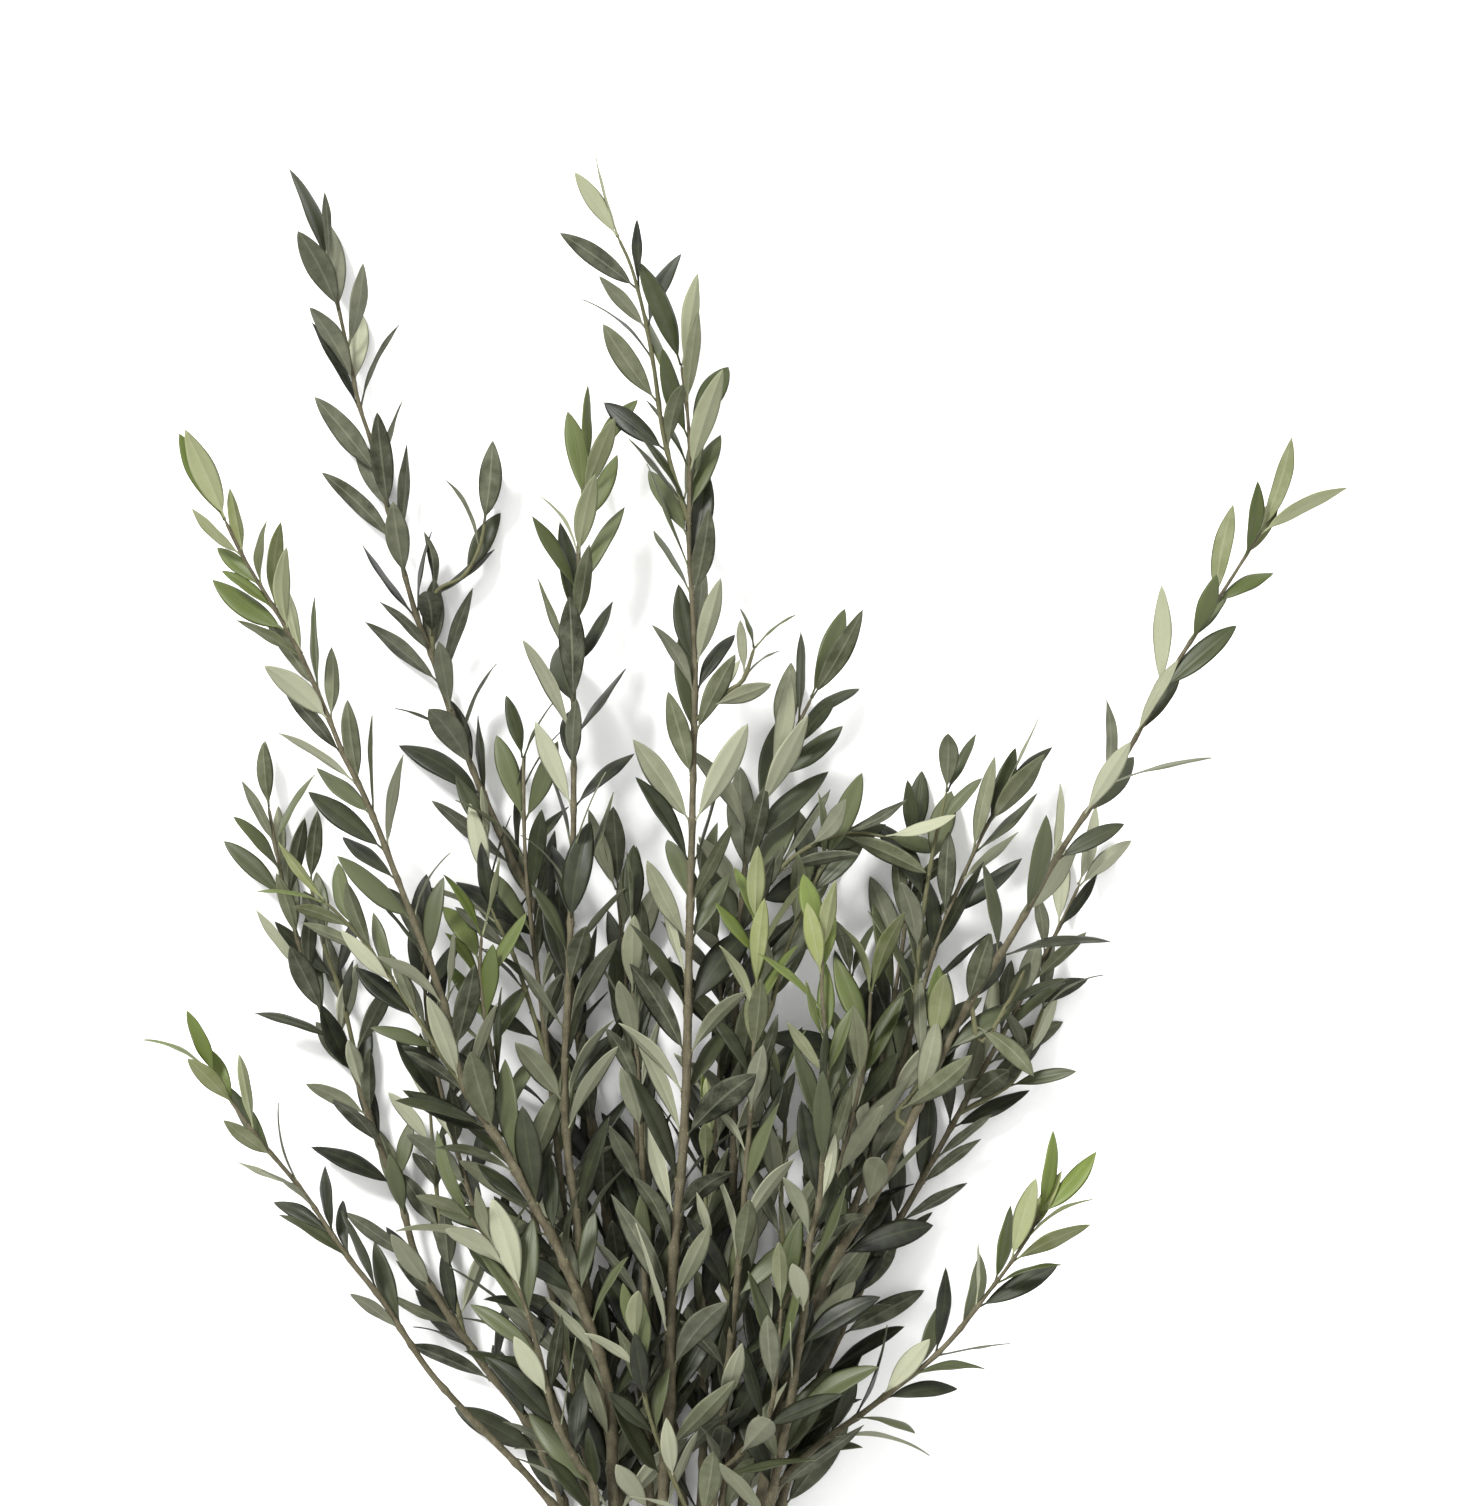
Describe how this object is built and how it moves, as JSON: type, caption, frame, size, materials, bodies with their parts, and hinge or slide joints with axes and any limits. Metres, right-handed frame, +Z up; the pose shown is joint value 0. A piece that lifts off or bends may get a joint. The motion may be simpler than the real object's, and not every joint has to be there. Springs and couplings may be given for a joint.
{
  "type": "bunch of olive branches",
  "caption": "Loose bunch of cut olive branches lying on a table, long tapering stems fanning out with narrow grey-green leaves in opposite pairs, bare below.",
  "frame": {"origin": "middle of the bunch's footprint, on the surface that it lies on", "axes": "+Y from the cut ends towards the tips, +X to the right of the fan seen from above, +Z up from the surface"},
  "size_m": [0.6028, 0.8172, 0.1167],
  "materials": {
    "olive_branch": "matte silvery grey-green leaves, dark green above, on smooth grey-brown bark"
  },
  "bodies": {
    "root": {"branch_front_left": "olive_branch", "branch_front_middle": "olive_branch", "branch_front_right": "olive_branch", "branch_bright_left": "olive_branch", "branch_tall_middle": "olive_branch", "branch_middle": "olive_branch", "branch_right_low": "olive_branch", "branch_far_left": "olive_branch", "branch_young_left": "olive_branch", "branch_straight_left": "olive_branch", "branch_core_middle": "olive_branch", "branch_core_upright": "olive_branch", "branch_right_long": "olive_branch", "branch_fill_left": "olive_branch", "branch_shaded_left": "olive_branch", "branch_core_right": "olive_branch", "branch_spreading": "olive_branch", "branch_right_bushy": "olive_branch", "branch_left_slanting": "olive_branch", "branch_tall_left": "olive_branch", "branch_core_left": "olive_branch", "branch_right_upright": "olive_branch", "branch_right_shaded": "olive_branch"}
  },
  "joints": []
}
